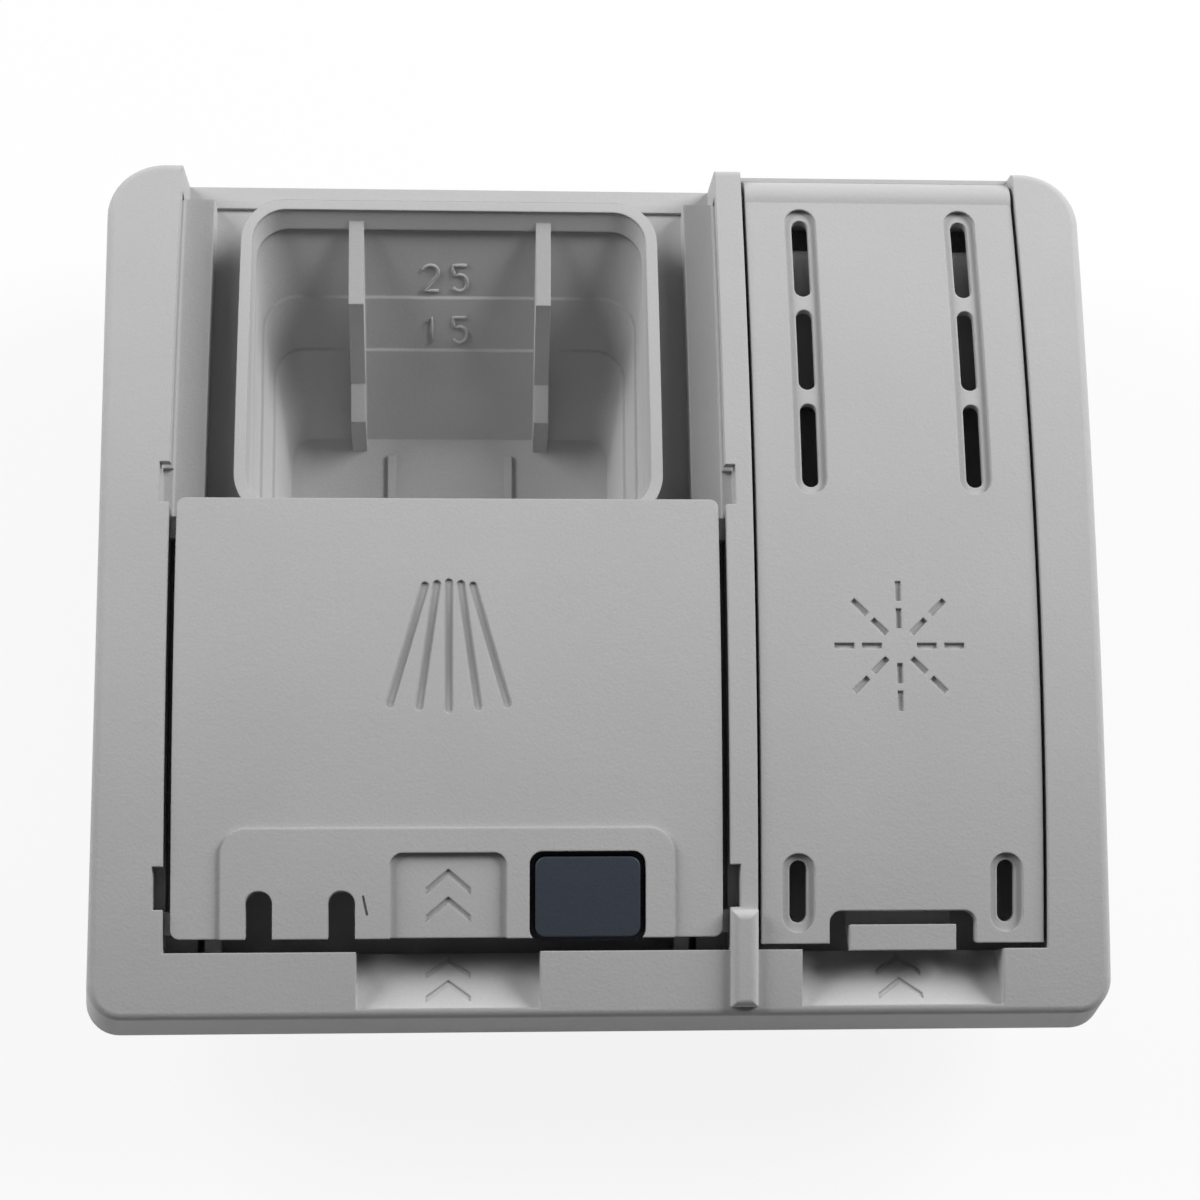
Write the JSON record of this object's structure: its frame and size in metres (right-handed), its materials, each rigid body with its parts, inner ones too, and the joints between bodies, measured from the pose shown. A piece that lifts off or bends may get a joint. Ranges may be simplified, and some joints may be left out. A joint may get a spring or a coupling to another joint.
{
  "type": "dishwasher detergent dispenser",
  "caption": "Crowned dishwasher dispenser: detergent cup under a sliding lid with release button, rinse aid tank under a hinged flap, solenoid release behind.",
  "frame": {"origin": "below the centre of the rim, on the plane of the tank's back", "axes": "+X along the width, lid to flap; +Y towards the flap hinge; +Z out of the face"},
  "size_m": [0.165, 0.142, 0.04],
  "materials": {
    "grey_plastic": "fine moulded texture",
    "pale_plastic": "satin",
    "button_plastic": "satin",
    "black_plastic": "satin",
    "soft_seal": "matt",
    "spring_steel": "bright wire",
    "zinc_steel": "zinc plated",
    "dark_metal": "ground",
    "coil_wire": "enamelled copper",
    "tab_brass": "tinned"
  },
  "bodies": {
    "housing": {"housing": "grey_plastic", "tank_cover": "pale_plastic", "door_gasket": "soft_seal", "fill_funnel": "pale_plastic", "float_pin": "spring_steel", "level_sensor": "black_plastic", "sensor_terminals": "tab_brass", "shaft_seal": "soft_seal", "coil_bobbin": "black_plastic", "coil_winding": "coil_wire", "coil_terminals": "tab_brass", "solenoid_frame": "zinc_steel", "solenoid_screws": "zinc_steel", "armature_spring": "spring_steel", "valve_spring": "spring_steel", "lid_spring_left": "spring_steel", "lid_spring_right": "spring_steel"},
    "lid": {"lid": "grey_plastic", "button_retainer": "pale_plastic", "button_spring": "spring_steel"},
    "button": {"release_button": "button_plastic"},
    "flap": {"flap": "grey_plastic", "flap_seal": "soft_seal"},
    "latch": {"flap_latch": "grey_plastic"},
    "knob": {"dosing_knob": "pale_plastic", "knob_ring": "pale_plastic"},
    "float": {"float": "pale_plastic", "float_magnet": "dark_metal"},
    "catch": {"catch_shaft": "pale_plastic", "crank_arm": "pale_plastic", "crank_clip": "spring_steel"},
    "armature": {"armature": "zinc_steel"},
    "valve": {"dosing_valve": "pale_plastic"}
  },
  "joints": [
    {"name": "lid_slide", "type": "hinge", "parent": "housing", "child": "lid", "pos_m": [0, -0.004, -0.271], "axis": [-1, 0, 0], "range_deg": [0, 9.67], "stiffness_Nm_per_rad": 14.5, "springref_deg": -3.44, "deforming": ["lid_spring_left", "lid_spring_right"]},
    {"name": "button_press", "type": "slide", "parent": "lid", "child": "button", "axis": [0, 0.1492, -0.9888], "range_m": [0, 0.002], "stiffness_N_per_m": 600, "springref_m": -0.002, "deforming": ["button_spring"]},
    {"name": "flap_hinge", "type": "hinge", "parent": "housing", "child": "flap", "pos_m": [0.047, 0.0656, 0.0277], "axis": [-1, 0, 0], "range_deg": [0, 100]},
    {"name": "latch_pull", "type": "hinge", "parent": "flap", "child": "latch", "pos_m": [0.047, -0.0475, 0.0306], "axis": [-1, 0, 0], "range_deg": [0, 12], "stiffness_Nm_per_rad": 0.05, "springref_deg": -5.73},
    {"name": "knob_turn", "type": "hinge", "parent": "housing", "child": "knob", "pos_m": [0.047, 0.05, 0.024], "axis": [0, 0, 1], "range_deg": [0, 150]},
    {"name": "float_swing", "type": "hinge", "parent": "housing", "child": "float", "pos_m": [0.047, 0.04, 0.008], "axis": [-1, 0, 0], "range_deg": [0, 14]},
    {"name": "armature_slide", "type": "slide", "parent": "housing", "child": "armature", "axis": [-1, 0, 0], "range_m": [0, 0.00417], "deforming": ["armature_spring", "valve_spring"]},
    {"name": "catch_turn", "type": "hinge", "parent": "housing", "child": "catch", "pos_m": [-0.02445, -0.012, 0.02], "axis": [0, 0, -1], "range_deg": [0, 20]},
    {"name": "valve_slide", "type": "slide", "parent": "housing", "child": "valve", "axis": [-1, 0, 0], "range_m": [0, 0.00417]}
  ],
  "couplings": [
    {"joint": "catch_turn", "follows": "armature_slide", "rad_per_m": 83.749},
    {"joint": "valve_slide", "follows": "armature_slide", "ratio": 1}
  ]
}
